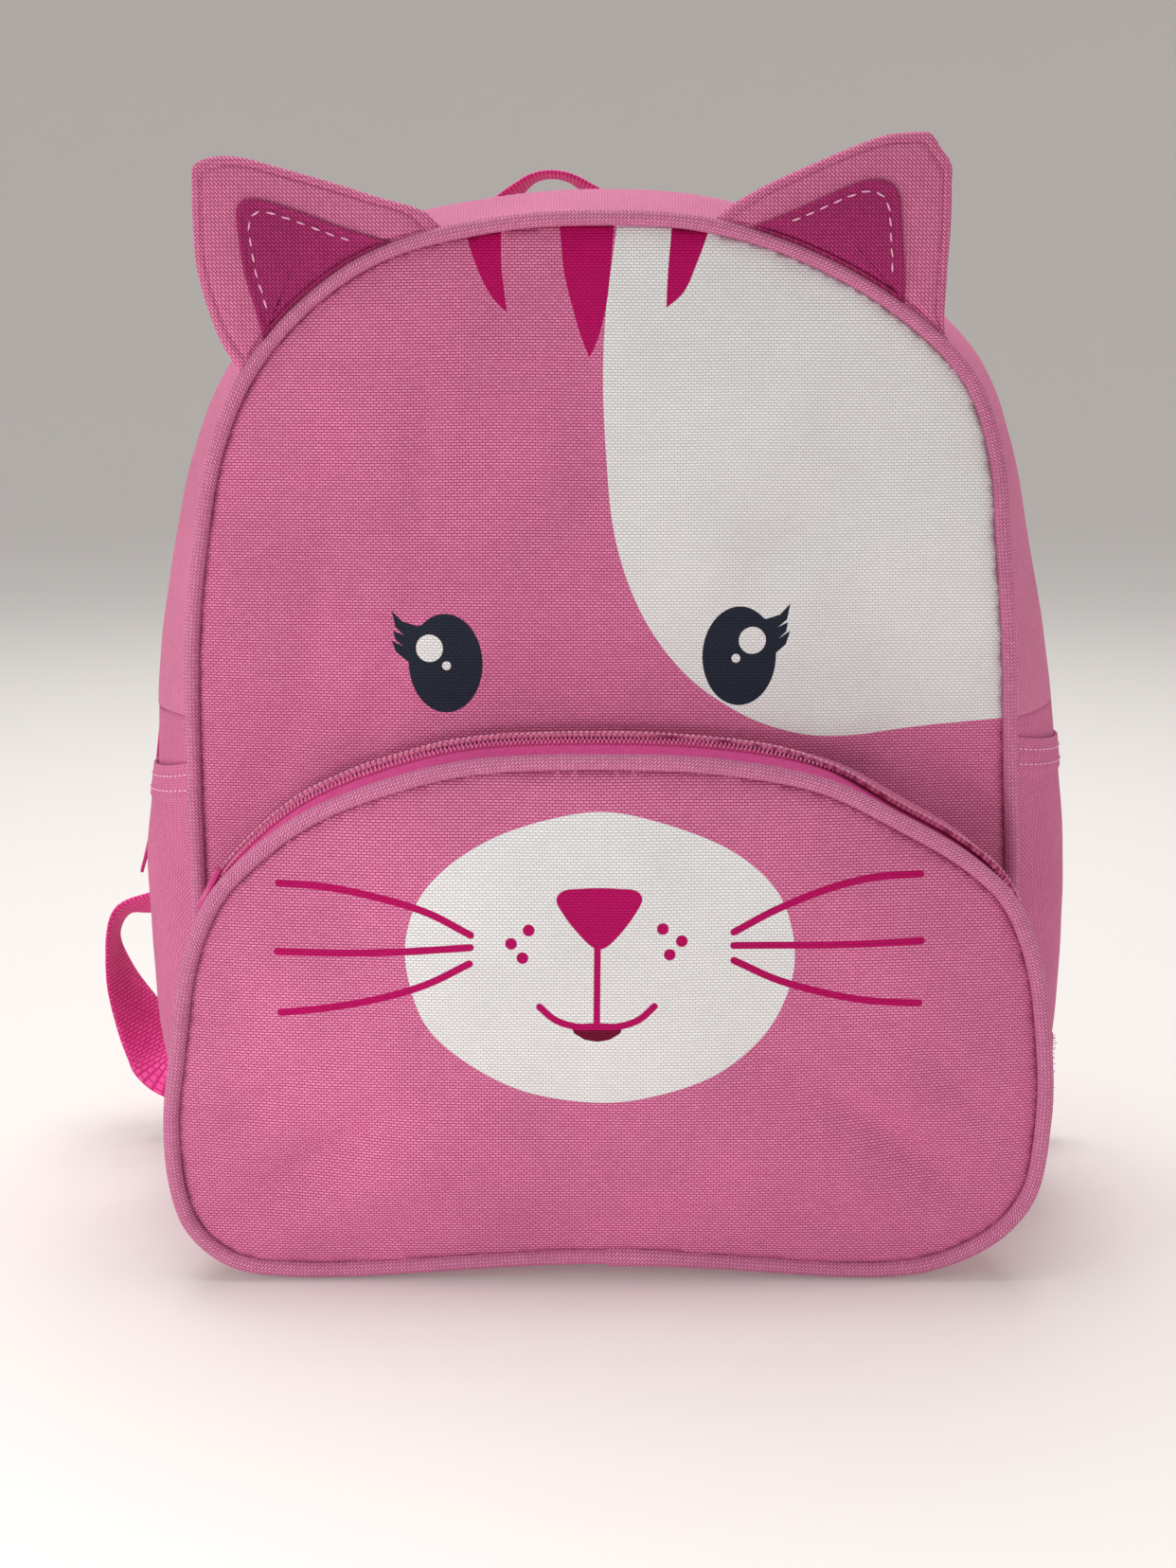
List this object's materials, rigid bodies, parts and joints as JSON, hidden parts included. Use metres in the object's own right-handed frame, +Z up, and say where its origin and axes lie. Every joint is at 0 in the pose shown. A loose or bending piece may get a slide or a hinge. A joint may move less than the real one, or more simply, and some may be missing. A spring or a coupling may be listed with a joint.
{
  "type": "kids animal backpack",
  "caption": "Soft child's backpack with a cat's face on its front pocket, cloth ears on top, a zipped main bag, side pockets, a carry loop and padded shoulder straps.",
  "frame": {"origin": "on the floor under the middle of the main bag's width and depth, on the flat of its base", "axes": "+Z up; the cat's face looks along -Y and the wearer's back is on the +Y side; +X is the right side of the front as it is seen"},
  "size_m": [0.3392, 0.1707, 0.3323],
  "materials": {
    "cloth_pink": "plain weave",
    "cloth_pale_pink": "plain weave",
    "piping": "cloth over cord",
    "inner_ear_cloth": "plain weave",
    "zip_tape": "woven tape with a nylon coil",
    "webbing": "ribbed webbing",
    "back_pad": "padded mesh cloth",
    "adjuster_plastic": "moulded",
    "slider": "painted"
  },
  "bodies": {
    "root": {"front_panel": "cloth_pink", "back_panel": "back_pad", "pocket_panel": "cloth_pink", "front_piping": "piping", "pocket_piping": "piping", "zip_gusset_front": "cloth_pale_pink", "zip_gusset_back": "cloth_pale_pink", "side_gusset": "cloth_pink", "main_zip": "zip_tape", "pocket_gusset": "cloth_pink", "pocket_zip": "zip_tape", "pocket_zip_fold": "cloth_pale_pink", "side_pocket_left": "cloth_pink", "side_pocket_right": "cloth_pink", "ear_left": "cloth_pink", "inner_ear_left": "inner_ear_cloth", "ear_right": "cloth_pink", "inner_ear_right": "inner_ear_cloth", "carry_loop": "webbing", "shoulder_strap_left": "cloth_pink", "strap_adjuster_left": "adjuster_plastic", "strap_anchor_left": "cloth_pink", "strap_webbing_left": "webbing", "shoulder_strap_right": "cloth_pink", "strap_adjuster_right": "adjuster_plastic", "strap_anchor_right": "cloth_pink", "strap_webbing_right": "webbing", "main_zip_slider": "slider", "main_zip_pull": "webbing", "pocket_zip_slider": "slider"}
  },
  "joints": []
}
